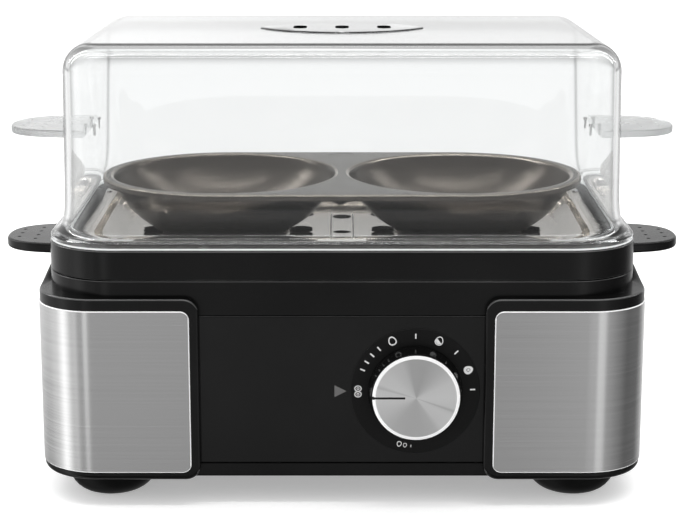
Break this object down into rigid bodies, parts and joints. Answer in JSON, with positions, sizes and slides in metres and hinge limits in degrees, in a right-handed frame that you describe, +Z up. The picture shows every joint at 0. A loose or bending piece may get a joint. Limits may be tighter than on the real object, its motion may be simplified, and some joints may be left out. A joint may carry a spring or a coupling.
{
  "type": "egg cooker",
  "caption": "Electric egg cooker: low rounded base with steel side panels and a rotary control, lift-off carrier with perforated tray, poaching pan and clear domed lid with handles.",
  "frame": {"origin": "on the table under the middle of the base, centre of the bounding box in plan", "axes": "+X to the right as seen from the front, -Y is the front with the knob, +Z up"},
  "size_m": [0.286, 0.1762, 0.1807],
  "materials": {
    "black_plastic": "satin moulded plastic",
    "gloss_black": "polished",
    "brushed_steel": "brushed across",
    "tray_steel": "satin",
    "bright_metal": "bright plated",
    "knob_aluminium": "circular brushed face",
    "heater_aluminium": "cast",
    "print_white": "printed",
    "pilot_grey": "tinted, unlit",
    "lamp_red": "polished",
    "rubber_black": "matte",
    "silicone_red": "matte",
    "board_green": "matte",
    "relay_blue": "matte",
    "terminal_white": "matte",
    "basin_coat": "non-stick coat",
    "pan_coat": "non-stick coat",
    "heater_sheath": "heat-tinted",
    "sheet_steel": "zinc plated",
    "clear_plastic": "clear, polished"
  },
  "bodies": {
    "base": {"housing": "black_plastic", "left_cheek": "black_plastic", "right_cheek": "black_plastic", "left_steel_panel": "brushed_steel", "right_steel_panel": "brushed_steel", "bottom_cover": "black_plastic", "front_left_foot": "black_plastic", "front_right_foot": "black_plastic", "rear_left_foot": "black_plastic", "rear_right_foot": "black_plastic", "foot_pads": "rubber_black", "cover_screws": "bright_metal", "front_panel": "gloss_black", "dial_disc": "black_plastic", "dial_marks": "print_white", "pilot_lens": "pilot_grey", "pilot_lamp": "lamp_red", "potentiometer": "sheet_steel", "potentiometer_nut": "bright_metal", "control_board": "board_green", "buzzer": "black_plastic", "relay": "relay_blue", "board_screws": "bright_metal", "cord_gland": "rubber_black", "gland_nut": "black_plastic", "terminal_block": "terminal_white", "basin_gasket": "silicone_red", "water_basin": "basin_coat", "heat_plate": "heater_aluminium", "heating_element": "heater_sheath", "element_terminals": "bright_metal", "thermostat": "black_plastic", "thermal_fuse": "terminal_white", "heater_bridge": "sheet_steel", "bridge_screws": "bright_metal"},
    "knob": {"knob_skirt": "black_plastic", "knob_cap": "knob_aluminium", "control_shaft": "bright_metal"},
    "carrier": {"carrier_ring": "black_plastic", "left_carrier_handle": "black_plastic", "right_carrier_handle": "black_plastic", "carrier_screws": "bright_metal", "steel_tray": "tray_steel", "tray_rivets": "bright_metal"},
    "pan": {"poaching_pan": "pan_coat"},
    "lid": {"lid_shell": "clear_plastic", "left_lid_handle": "clear_plastic", "right_lid_handle": "clear_plastic", "lid_handle_clips": "bright_metal"}
  },
  "joints": [
    {"name": "knob_turn", "type": "hinge", "parent": "base", "child": "knob", "pos_m": [0.0285, -0.08, 0.04664], "axis": [0, 1, 0], "range_deg": [-80, 180]},
    {"name": "carrier_lift", "type": "slide", "parent": "base", "child": "carrier", "axis": [0, 0, 1], "range_m": [0, 0.06]},
    {"name": "pan_lift", "type": "slide", "parent": "carrier", "child": "pan", "axis": [0, 0, 1], "range_m": [0, 0.045]},
    {"name": "lid_lift", "type": "slide", "parent": "carrier", "child": "lid", "axis": [0, 0, 1], "range_m": [0, 0.12]}
  ]
}
